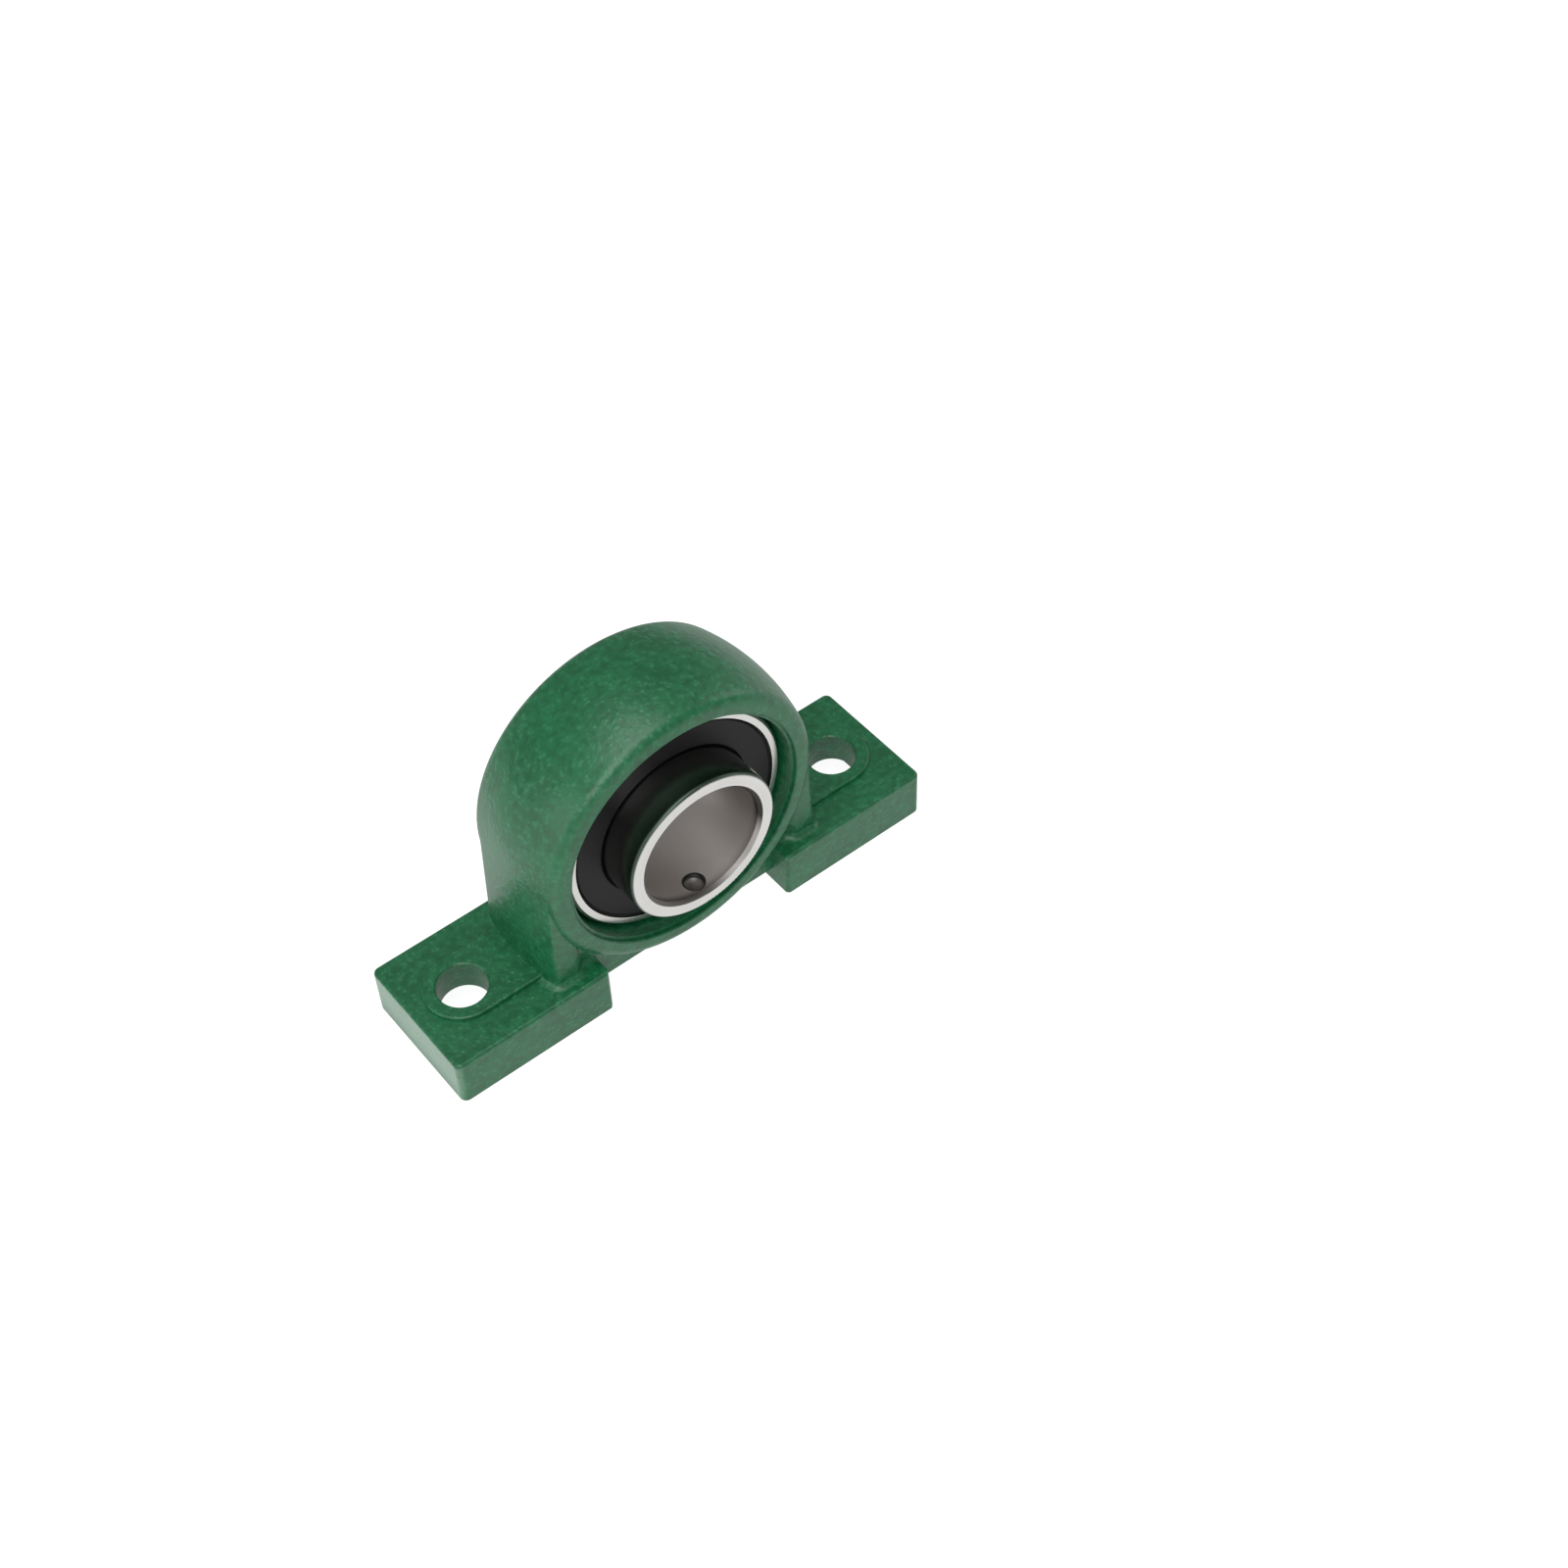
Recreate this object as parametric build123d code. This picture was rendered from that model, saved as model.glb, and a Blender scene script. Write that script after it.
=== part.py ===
from build123d import *
import os
from math import acos, asin, atan2, cos, degrees, hypot, radians, sin, sqrt

# Pillow block unit: a cast housing on two bolt-down feet with a self-aligning ball bearing insert.
# Millimetres. X runs along the feet, Y along the shaft, Z up. The origin is in the plane the feet
# stand on, halfway along the feet and halfway along the whole depth, which goes from the long end of
# the inner ring, towards -Y, to the rear of the feet. Every piece is drawn with the bearing's middle
# at Y = 0 first, and main() moves them all to that place.

# Shaft and bearing insert
shaft_diameter = 45.0
inner_ring_wall = 5.7
inner_ring_front_reach = 31.2
inner_ring_rear_reach = 19.0
inner_ring_bore_chamfer = 0.5
inner_ring_edge_radius = 0.5
land_gap = 8.0
ball_diameter = 12.7
ball_count = 9
groove_to_ball = 0.52
ball_clearance = 0.05
outer_ring_wall = 6.4
outer_ring_width = 33.0
outer_ring_edge = 0.6

# Seals
seal_rim = 2.1
seal_recess = 0.6
seal_thickness = 2.2
seal_lip_length = 3.2
seal_lip_thickness = 1.1
seal_lip_clearance = 0.06

# Cage
cage_sheet = 1.2
cage_band = 4.6
pocket_clearance = 0.1
rivet_diameter = 2.0
rivet_head_diameter = 3.4
rivet_head_height = 0.7

# Set screws
set_screw_diameter = 8.0
set_screw_length = 5.0
set_screw_socket = 4.0
set_screw_socket_depth = 2.5
set_screw_point_chamfer = 1.0
set_screw_from_face = 6.0
set_screw_recess = 0.8
set_screw_angles = (-93.0, 27.0)
close_fit = 0.02

# Housing ring
ring_wall = 9.3
ring_crowning = 3.5
ring_beyond_insert = 6.0
ring_edge_radius = 4.5
seat_clearance = 0.08
seat_lip = 1.45
mouth_step = 1.1
mouth_step_depth = 1.6
mouth_edge_chamfer = 0.4
loading_slot_clearance = 1.0
loading_slot_depth_clearance = 0.2
ring_above_base = 4.8

# Legs and web
leg_setback = 2.5
leg_width = 8.5
leg_flare = 1.75
leg_tuck = 0.06
leg_edge_radius = 2.5
leg_root_radius = 2.4
web_setback = 2.75
web_above_base = 6.5
relief_radius = 3.6

# Feet
foot_length = 192.0
foot_ledge = 5.35
foot_thickness = 18.7
foot_end_beyond_ring = 0.4
foot_corner_radius = 2.5
foot_edge_radius = 1.2
foot_end_chamfer = 1.0
foot_wall = 6.0
foot_hollow_depth = 8.8
foot_hollow_corner = 4.0
foot_hollow_edge = 2.0
bolt_spacing = 154.0
bolt_hole_diameter = 17.3
bolt_hole_chamfer = 0.45
pad_border = 4.6
pad_height = 1.9
pad_edge_radius = 0.6

# Sizes that follow from the ones above
shaft_radius = shaft_diameter / 2
ball_radius = ball_diameter / 2
inner_land_radius = shaft_radius + inner_ring_wall
outer_land_radius = inner_land_radius + land_gap
pitch_radius = (inner_land_radius + outer_land_radius) / 2
groove_radius = groove_to_ball * ball_diameter
inner_groove_floor = pitch_radius - ball_radius - ball_clearance
outer_groove_floor = pitch_radius + ball_radius + ball_clearance
outer_sphere_radius = outer_groove_floor + outer_ring_wall
outer_face_radius = sqrt(outer_sphere_radius ** 2 - (outer_ring_width / 2) ** 2)
seal_seat_radius = outer_face_radius - outer_ring_edge - seal_rim
seal_seat_depth = seal_recess + seal_thickness
seat_radius = outer_sphere_radius + seat_clearance
mouth_radius = seat_radius - seat_lip
ring_radius = seat_radius + ring_wall
axis_height = ring_above_base + ring_radius
ring_width = outer_ring_width + 2 * ring_beyond_insert
crown_radius = ((ring_width / 2) ** 2 + ring_crowning ** 2) / (2 * ring_crowning)
leg_root_half = ring_radius + leg_flare
leg_depth = ring_width - 2 * leg_setback
web_depth = leg_depth - 2 * web_setback
leg_crowning = crown_radius - sqrt(crown_radius ** 2 - (leg_depth / 2) ** 2)
foot_width = leg_depth + 2 * foot_ledge
foot_gap = 2 * (sqrt(ring_radius ** 2 - (axis_height - foot_thickness) ** 2) + foot_end_beyond_ring)
pad_radius = bolt_hole_diameter / 2 + pad_border
bearing_setback = (inner_ring_front_reach - foot_width / 2) / 2

# The shaft's line through the bearing, and the frame in which every turned piece is drawn
bearing_centre = Pos(0, 0, axis_height)


def turned(outline):
    """Turn a closed outline of (radius, along the shaft) points about the shaft's line."""
    return revolve(make_face(Polyline(*outline, close=True)), Axis.Y, 360)


def disc(radius, low, high):
    """A round block about the shaft's line between two places along it."""
    return Pos(0, (low + high) / 2, 0) * Rot(90, 0, 0) * Cylinder(radius, high - low)


def ball_angle(index):
    """Angle of a ball about the shaft's line, in degrees from +X towards +Z."""
    return 90 + index * 360 / ball_count


def around(index_angle, radius):
    """Place of something on a circle about the shaft's line."""
    angle = radians(index_angle)
    return Pos(radius * cos(angle), 0, radius * sin(angle))


def raceway(floor, outwards):
    """The ring-shaped cutter that leaves a ball groove in a bearing ring."""
    centre = floor + groove_radius if outwards else floor - groove_radius
    return revolve(Pos(centre, 0) * Circle(groove_radius), Axis.Y, 360)


def foot(side):
    """One foot without its pad and bolt hole. side is -1 or 1."""
    length = (foot_length - foot_gap) / 2
    middle = side * (foot_gap + length) / 2
    block = Pos(middle, 0, foot_thickness / 2) * Box(length, foot_width, foot_thickness)
    uprights = block.edges().filter_by(Axis.Z).sort_by(lambda edge: abs(edge.center().X))
    block = fillet(uprights[-2:], foot_corner_radius)
    uprights = block.edges().filter_by(Axis.Z).sort_by(lambda edge: abs(edge.center().X))
    block = chamfer(uprights[:2], foot_end_chamfer)
    rim = block.faces().sort_by(Axis.Z)[-1].edges()
    inner_end = foot_gap / 2 + foot_end_chamfer
    return fillet(rim.filter_by(lambda edge: abs(edge.center().X) > inner_end), foot_edge_radius)


def foot_hollow(side):
    """The cutter for the hollow that the core leaves under one foot."""
    length = (foot_length - foot_gap) / 2 - 2 * foot_wall
    middle = side * (foot_length + foot_gap) / 4
    hollow = Pos(middle, 0, foot_hollow_depth / 2) * Box(
        length, foot_width - 2 * foot_wall, foot_hollow_depth
    )
    hollow = fillet(hollow.edges().filter_by(Axis.Z), foot_hollow_corner)
    return fillet(hollow.faces().sort_by(Axis.Z)[-1].edges(), foot_hollow_edge)


def pad(side):
    """The raised pad about a bolt hole, round at the end and running into the leg."""
    inner = leg_root_half - leg_edge_radius
    outer = bolt_spacing / 2
    outline = Pos(side * (inner + outer) / 2, 0) * Rectangle(outer - inner, 2 * pad_radius)
    outline += Pos(side * outer, 0) * Circle(pad_radius)
    raised = extrude(outline, foot_thickness + pad_height)
    return fillet(raised.faces().sort_by(Axis.Z)[-1].edges(), pad_edge_radius)


def bolt_hole(side):
    """The cutter for one bolt hole, from the foot's underside up through the pad."""
    top = foot_thickness + pad_height
    hole = Cylinder(bolt_hole_diameter / 2, top, align=(Align.CENTER, Align.CENTER, Align.MIN))
    rim = bolt_hole_diameter / 2 + bolt_hole_chamfer
    mouth = Pos(0, 0, top) * Cone(0, rim, rim, align=(Align.CENTER, Align.CENTER, Align.MAX))
    return Pos(side * bolt_spacing / 2, 0, 0) * (hole + mouth)


def leg_half(side):
    """One leg with its half of the web, crowned like the ring, and leaning in to the ring's flank."""
    rise = axis_height - foot_thickness
    reach = hypot(leg_root_half, rise)
    inside = ring_radius - leg_tuck
    touch = acos(inside / reach) - atan2(rise, leg_root_half)
    top_x = inside * cos(touch)
    top_z = axis_height + inside * sin(touch)
    slope = (leg_root_half - top_x) / (top_z - foot_thickness)
    low_x = leg_root_half + slope * (foot_thickness - web_above_base)
    edge, inner, face = side * (low_x - leg_crowning), -side * leg_width, leg_depth / 2
    outline = Polyline((edge, face), (inner, face), (inner, -face), (edge, -face))
    outline += ThreePointArc((edge, -face), (side * low_x, 0), (edge, face))
    plan = make_face(outline)
    corners = plan.vertices().filter_by(lambda corner: side * corner.X > 0)
    plan = fillet(corners, leg_edge_radius)
    lean = Vector(-side * slope, 0, 1) * (top_z - web_above_base)
    return Pos(0, 0, web_above_base) * extrude(plan, lean.length, dir=lean.normalized())


def legs_and_web():
    """Both legs and the thinner web between them, up to where the ring's flanks take over."""
    block = leg_half(-1) + leg_half(1)
    half = leg_root_half - leg_crowning - leg_width
    for side in (-1, 1):
        block -= extrude(web_relief_plan(side, half), axis_height)
    brinks = block.edges().filter_by(Axis.Z).filter_by(lambda edge: abs(abs(edge.center().X) - half) < 0.01)
    return fillet(brinks, relief_radius)


def web_relief_plan(side, half):
    """Plan of what is taken off the block between the legs, front or rear, to leave the web."""
    face, floor, clear = side * leg_depth / 2, side * web_depth / 2, side * leg_depth
    outline = Polyline(
        (-half, clear),
        (-half, face),
        (web_setback - half, floor),
        (half - web_setback, floor),
        (half, face),
        (half, clear),
        close=True,
    )
    plan = make_face(outline)
    corners = plan.vertices().filter_by(lambda corner: abs(corner.Y - floor) < 0.01)
    return fillet(corners, relief_radius)


def insert_seat():
    """The spherical seat with the stepped mouths on both sides, turned in one go."""
    half = ring_width / 2
    step_radius = mouth_radius + mouth_step
    rim_radius = step_radius + mouth_edge_chamfer
    brim = sqrt(seat_radius ** 2 - mouth_radius ** 2)
    outline = Polyline(
        (mouth_radius, brim),
        (mouth_radius, half - mouth_step_depth),
        (step_radius, half - mouth_step_depth),
        (step_radius, half - mouth_edge_chamfer),
        (rim_radius, half),
        (0, half),
        (0, -half),
        (rim_radius, -half),
        (step_radius, mouth_edge_chamfer - half),
        (step_radius, mouth_step_depth - half),
        (mouth_radius, mouth_step_depth - half),
        (mouth_radius, -brim),
    )
    outline += ThreePointArc((mouth_radius, -brim), (seat_radius, 0), (mouth_radius, brim))
    return Rot(0, 90, 0) * revolve(make_face(outline), Axis.Y, 360)


def loading_slots():
    """The two slots through the rear mouth, by which the insert goes into its seat."""
    half = ring_width / 2
    reach = seat_radius + loading_slot_depth_clearance
    slot = Pos(0, half / 2, 0) * Box(2 * reach, half, outer_ring_width + loading_slot_clearance)
    return slot & Rot(0, 90, 0) * disc(reach, 0, half)


def leg_root_edges(body):
    """The inside corners where the legs and the web stand on the feet."""
    return body.edges().filter_by(
        lambda edge: abs(edge.center().Z - foot_thickness) < 0.01
        and foot_gap / 2 + 0.01 < abs(edge.center().X) < leg_root_half + 0.01
        and abs(edge.center().Y) < leg_depth / 2 + 0.01
    )


def crowned_ring():
    """The ring as a solid drum, a little fuller in the middle than at its rounded faces."""
    half, edge = ring_width / 2, ring_radius - ring_crowning
    outline = Polyline((edge, half), (0, half), (0, -half), (edge, -half))
    outline += ThreePointArc((edge, -half), (ring_radius, 0), (edge, half))
    plan = make_face(outline)
    corners = plan.vertices().filter_by(lambda corner: corner.X > edge / 2)
    return Rot(0, 90, 0) * revolve(fillet(corners, ring_edge_radius), Axis.Y, 360)


def make_housing():
    """The whole casting: ring, legs, web and feet, with the seat and the bolt holes cut."""
    body = legs_and_web() + bearing_centre * crowned_ring() + foot(-1) + foot(1)
    body = fillet(leg_root_edges(body), leg_root_radius)
    for side in (-1, 1):
        body += pad(side)
        body -= bolt_hole(side) + foot_hollow(side)
    return body - bearing_centre * insert_seat() - bearing_centre * loading_slots()


def make_outer_ring():
    """Bearing outer ring with a spherical outside, a ball groove and a seat for each seal."""
    half = outer_ring_width / 2
    edge_y = half - outer_ring_edge
    edge_radius = sqrt(outer_sphere_radius ** 2 - edge_y ** 2)
    shoulder = half - seal_seat_depth
    outline = Polyline(
        (edge_radius, edge_y),
        (outer_face_radius - outer_ring_edge, half),
        (seal_seat_radius, half),
        (seal_seat_radius, shoulder),
        (outer_land_radius, shoulder),
        (outer_land_radius, -shoulder),
        (seal_seat_radius, -shoulder),
        (seal_seat_radius, -half),
        (outer_face_radius - outer_ring_edge, -half),
        (edge_radius, -edge_y),
    )
    outline += ThreePointArc((edge_radius, -edge_y), (outer_sphere_radius, 0), (edge_radius, edge_y))
    ring = revolve(make_face(outline), Axis.Y, 360)
    return bearing_centre * (ring - raceway(outer_groove_floor, False))


def make_inner_ring():
    """Bearing inner ring with a ball groove and, in its long end, the set screw holes."""
    front, rear = -inner_ring_front_reach, inner_ring_rear_reach
    section = Pos((shaft_radius + inner_land_radius) / 2, (front + rear) / 2) * Rectangle(
        inner_ring_wall, rear - front
    )
    corners = section.vertices().sort_by(Axis.X)
    section = chamfer(corners[:2], inner_ring_bore_chamfer)
    section = fillet(section.vertices().sort_by(Axis.X)[-2:], inner_ring_edge_radius)
    ring = revolve(section, Axis.Y, 360) - raceway(inner_groove_floor, True)
    for angle in set_screw_angles:
        ring -= set_screw_place(angle) * Cylinder(
            set_screw_diameter / 2, inner_land_radius, align=(Align.CENTER, Align.CENTER, Align.MIN)
        )
    return bearing_centre * ring


def set_screw_place(angle):
    """Frame of a set screw hole: its Z points out of the ring, its origin is on the shaft's line."""
    return Pos(0, set_screw_from_face - inner_ring_front_reach, 0) * Rot(0, 90 - angle, 0)


def make_set_screw(angle):
    """One set screw, with a hexagon socket outside and a cup point at the shaft."""
    tip = shaft_radius + set_screw_recess
    radius = set_screw_diameter / 2 - close_fit
    screw = Cylinder(radius, set_screw_length, align=(Align.CENTER, Align.CENTER, Align.MIN))
    point = screw.faces().sort_by(Axis.Z)[0]
    screw = chamfer(point.edges(), set_screw_point_chamfer)
    cup = radius - set_screw_point_chamfer
    screw -= Cone(0.7 * cup, 0, 0.7 * cup, align=(Align.CENTER, Align.CENTER, Align.MIN))
    socket = RegularPolygon(set_screw_socket / 2, 6, major_radius=False)
    screw -= Pos(0, 0, set_screw_length - set_screw_socket_depth) * extrude(socket, set_screw_socket_depth)
    return bearing_centre * set_screw_place(angle) * Pos(0, 0, tip) * screw


def make_seal(side):
    """One seal: a disc seated in the outer ring, with a lip turned inwards at the inner ring."""
    outer = outer_ring_width / 2 - seal_recess
    inner = outer - seal_thickness
    lip_radius = inner_land_radius + seal_lip_clearance
    lip_outside = lip_radius + seal_lip_thickness
    rim = seal_seat_radius - close_fit
    outline = [
        (lip_radius, side * outer),
        (rim, side * outer),
        (rim, side * inner),
        (lip_outside, side * inner),
        (lip_outside, side * (outer - seal_lip_length)),
        (lip_radius, side * (outer - seal_lip_length)),
    ]
    return bearing_centre * turned(outline)


def make_ball(index):
    """One ball in its place between the grooves."""
    return bearing_centre * around(ball_angle(index), pitch_radius) * Sphere(ball_radius)


def rivet_angle(index):
    """Angle of a rivet, halfway between two balls."""
    return ball_angle(index + 0.5)


def make_cage_half(side):
    """One pressing of the cage: a flat band that bulges round each ball, with its rivet holes."""
    pocket_radius = ball_radius + pocket_clearance
    shell_radius = pocket_radius + cage_sheet
    inner, outer = pitch_radius - cage_band / 2, pitch_radius + cage_band / 2
    low, high = sorted((0, side * cage_sheet))
    half = disc(outer, low, high)
    for index in range(ball_count):
        half += around(ball_angle(index), pitch_radius) * Sphere(shell_radius)
    low, high = sorted((0, side * 2 * shell_radius))
    half &= disc(outer, low, high)
    half -= disc(inner, low, high)
    for index in range(ball_count):
        half -= around(ball_angle(index), pitch_radius) * Sphere(pocket_radius)
        hole = disc(rivet_diameter / 2 + close_fit, low, high)
        half -= around(rivet_angle(index), pitch_radius) * hole
    return bearing_centre * half


def make_cage_rivets():
    """The rivets that hold the two pressings together, with a head at each end."""
    reach = cage_sheet + rivet_head_height
    rivets = []
    for index in range(ball_count):
        rivet = disc(rivet_diameter / 2, -cage_sheet, cage_sheet)
        rivet += disc(rivet_head_diameter / 2, cage_sheet, reach)
        rivet += disc(rivet_head_diameter / 2, -reach, -cage_sheet)
        rivets.append(bearing_centre * around(rivet_angle(index), pitch_radius) * rivet)
    return Compound(children=rivets)


def main():
    """Make every piece and write each one to its own file."""
    pieces = {
        "housing": make_housing(),
        "outer_ring": make_outer_ring(),
        "inner_ring": make_inner_ring(),
        "front_seal": make_seal(-1),
        "rear_seal": make_seal(1),
        "cage_front": make_cage_half(-1),
        "cage_rear": make_cage_half(1),
        "cage_rivets": make_cage_rivets(),
    }
    for index in range(ball_count):
        pieces[f"ball_{index + 1}"] = make_ball(index)
    for index, angle in enumerate(set_screw_angles):
        pieces[f"set_screw_{index + 1}"] = make_set_screw(angle)
    os.makedirs("parts", exist_ok=True)
    for name, piece in pieces.items():
        export_step(Pos(0, bearing_setback, 0) * piece, f"parts/{name}.step")


main()
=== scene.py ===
"""A green pillow block housing with its bearing insert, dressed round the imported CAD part."""

import logging
import math
from dataclasses import dataclass
from enum import Enum
from typing import Any, Optional, Union

import bmesh
import bpy
import numpy as np
from mathutils import Matrix, Vector


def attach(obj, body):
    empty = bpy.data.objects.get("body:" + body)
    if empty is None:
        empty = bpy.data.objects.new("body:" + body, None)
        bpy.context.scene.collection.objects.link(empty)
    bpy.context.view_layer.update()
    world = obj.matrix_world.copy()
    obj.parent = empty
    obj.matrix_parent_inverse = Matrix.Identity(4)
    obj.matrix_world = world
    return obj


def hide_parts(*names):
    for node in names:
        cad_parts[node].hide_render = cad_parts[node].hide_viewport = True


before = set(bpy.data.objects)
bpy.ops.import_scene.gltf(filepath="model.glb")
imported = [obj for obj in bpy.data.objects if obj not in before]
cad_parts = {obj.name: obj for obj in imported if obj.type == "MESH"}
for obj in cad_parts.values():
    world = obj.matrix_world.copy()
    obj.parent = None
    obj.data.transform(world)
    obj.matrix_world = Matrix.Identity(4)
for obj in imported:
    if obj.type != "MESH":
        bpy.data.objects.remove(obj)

logging.basicConfig(level=logging.INFO, format="%(message)s")
LOG = logging.getLogger("pillow_block")

MM = 0.001
SHAFT_HEIGHT = 59.18 * MM
SETBACK = 2.925 * MM
BORE_RADIUS = 22.5 * MM
LAND_RADIUS = 28.2 * MM
RING_FRONT = SETBACK - 31.2 * MM
RING_REAR = SETBACK + 19.0 * MM
SEW_REACH = 0.002 * MM
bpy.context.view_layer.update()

Colour = tuple[float, float, float]
Reach = tuple[float, float]
Number = Union[int, float, "Value", bpy.types.NodeSocket]


class Fit(Enum):
    """The angle between faces, in degrees, up to which a kind of piece is shaded smooth."""

    CAST = 34.0
    TURNED = 24.0
    MOULDED = 40.0
    SCREW = 32.0
    HOLE = 50.0


class Value:
    """One number that varies over a surface; sums and products of it add Math nodes."""

    def __init__(self, tree: bpy.types.NodeTree, socket: bpy.types.NodeSocket) -> None:
        """Wrap an output socket of a node tree."""
        self.tree = tree
        self.socket = socket

    def _join(self, operation: str, *terms: Number) -> "Value":
        """Add a Math node on the terms in their order."""
        made = self.tree.nodes.new("ShaderNodeMath")
        made.operation = operation
        for place, term in enumerate(terms):
            if isinstance(term, Value):
                self.tree.links.new(term.socket, made.inputs[place])
            else:
                made.inputs[place].default_value = float(term)
        return Value(self.tree, made.outputs[0])

    def __add__(self, other: Number) -> "Value":
        """This value plus the other."""
        return self._join("ADD", self, other)

    def __radd__(self, other: Number) -> "Value":
        """The other plus this value."""
        return self._join("ADD", other, self)

    def __sub__(self, other: Number) -> "Value":
        """This value less the other."""
        return self._join("SUBTRACT", self, other)

    def __rsub__(self, other: Number) -> "Value":
        """The other less this value."""
        return self._join("SUBTRACT", other, self)

    def __mul__(self, other: Number) -> "Value":
        """This value times the other."""
        return self._join("MULTIPLY", self, other)

    def __truediv__(self, other: Number) -> "Value":
        """This value over the other."""
        return self._join("DIVIDE", self, other)

    def size(self) -> "Value":
        """This value without its sign."""
        return self._join("ABSOLUTE", self)

    def root(self) -> "Value":
        """The square root of this value."""
        return self._join("SQRT", self)

    def higher(self, other: Number) -> "Value":
        """The higher of this value and the other."""
        return self._join("MAXIMUM", self, other)

    def step(self, low: float, high: float, start: float = 0.0, end: float = 1.0) -> "Value":
        """Ease from start to end while this value goes from low to high.

        Args:
            low: the value at which the change begins.
            high: the value at which it is done.
            start: the result up to low.
            end: the result from high on.

        Returns:
            The eased value.
        """
        made = self.tree.nodes.new("ShaderNodeMapRange")
        made.interpolation_type = "SMOOTHSTEP"
        self.tree.links.new(self.socket, made.inputs["Value"])
        for name, number in (("From Min", low), ("From Max", high), ("To Min", start), ("To Max", end)):
            made.inputs[name].default_value = number
        return Value(self.tree, made.outputs["Result"])

    def fade(self, low: float, high: float) -> "Value":
        """Ease from 1 to 0 while this value goes from low to high."""
        return self.step(low, high, 1.0, 0.0)


class Shader:
    """A material's node tree with one Principled shader, worked on in object coordinates."""

    def __init__(self, name: str) -> None:
        """Start a material with the part's own coordinates ready."""
        self.material = bpy.data.materials.new(name)
        self.material.use_nodes = True
        self.tree = self.material.node_tree
        self.principled = self.tree.nodes["Principled BSDF"]
        self.place = self.node("ShaderNodeTexCoord").outputs["Object"]
        split = self.node("ShaderNodeSeparateXYZ", inputs={"Vector": self.place})
        self.x, self.y, self.z = (Value(self.tree, socket) for socket in split.outputs)

    def _plug(self, socket: bpy.types.NodeSocket, given: Any) -> None:
        """Link a value or another socket to a socket, or set the socket's own number or colour."""
        if isinstance(given, Value):
            self.tree.links.new(given.socket, socket)
        elif isinstance(given, bpy.types.NodeSocket):
            self.tree.links.new(given, socket)
        else:
            socket.default_value = given

    def node(
        self, kind: str, settings: Optional[dict[str, Any]] = None, inputs: Optional[dict[Any, Any]] = None
    ) -> bpy.types.Node:
        """Add a node.

        Args:
            kind: the node's type.
            settings: its own settings, set before its sockets.
            inputs: numbers, colours or links for its sockets, by name or index.

        Returns:
            The new node.
        """
        made = self.tree.nodes.new(kind)
        for name, setting in (settings or {}).items():
            setattr(made, name, setting)
        for name, given in (inputs or {}).items():
            self._plug(made.inputs[name], given)
        return made

    def noise(self, size: float, detail: float = 2.0, roughness: float = 0.5, at: Any = None) -> Value:
        """Noise between 0 and 1.

        Args:
            size: the width of one lump, in metres.
            detail: how many finer layers are added.
            roughness: how strong the finer layers are.
            at: where it is read; the part's own coordinates if left out.

        Returns:
            The noise.
        """
        made = self.node(
            "ShaderNodeTexNoise",
            inputs={
                "Vector": self.place if at is None else at,
                "Scale": 1.0 / size,
                "Detail": detail,
                "Roughness": roughness,
            },
        )
        return Value(self.tree, made.outputs["Fac"])

    def cells(self, size: float) -> Value:
        """Distance from the middle of the nearest cell, from 0 up, for cells of this size in metres."""
        made = self.node("ShaderNodeTexVoronoi", inputs={"Vector": self.place, "Scale": 1.0 / size})
        return Value(self.tree, made.outputs["Distance"])

    def vector(self, x: Number, y: Number, z: Number) -> bpy.types.NodeSocket:
        """Join three numbers to a vector."""
        return self.node("ShaderNodeCombineXYZ", inputs={"X": x, "Y": y, "Z": z}).outputs[0]

    def mix(self, share: Number, first: Any, second: Any) -> bpy.types.NodeSocket:
        """Mix two colours.

        Args:
            share: how much of the second, from 0 to 1.
            first: a colour or a link.
            second: a colour or a link.

        Returns:
            The mixed colour's socket.
        """
        colours = [(*c, 1.0) if isinstance(c, tuple) else c for c in (first, second)]
        made = self.node(
            "ShaderNodeMix",
            {"data_type": "RGBA", "clamp_factor": True},
            {0: share, 6: colours[0], 7: colours[1]},
        )
        return made.outputs[2]

    def blend(self, share: Number, first: Number, second: Number) -> Value:
        """Mix two numbers by a share from 0 to 1."""
        made = self.node(
            "ShaderNodeMix", {"data_type": "FLOAT", "clamp_factor": True}, {0: share, 2: first, 3: second}
        )
        return Value(self.tree, made.outputs[0])

    def bump(self, height: Value, depth: float, before: Any = None) -> bpy.types.NodeSocket:
        """Turn a height between 0 and 1 into a normal.

        Args:
            height: the height over the surface.
            depth: how high a height of 1 stands, in metres.
            before: a normal that this one is laid over.

        Returns:
            The normal's socket.
        """
        inputs: dict[Any, Any] = {"Height": height, "Distance": depth, "Strength": 1.0}
        if before is not None:
            inputs["Normal"] = before
        return self.node("ShaderNodeBump", inputs=inputs).outputs[0]

    def finish(self, **sockets: Any) -> bpy.types.Material:
        """Set or link the Principled shader's sockets, named with _ for a space.

        Returns:
            The finished material.
        """
        for name, given in sockets.items():
            self._plug(self.principled.inputs[name.replace("_", " ")], given)
        return self.material


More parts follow.
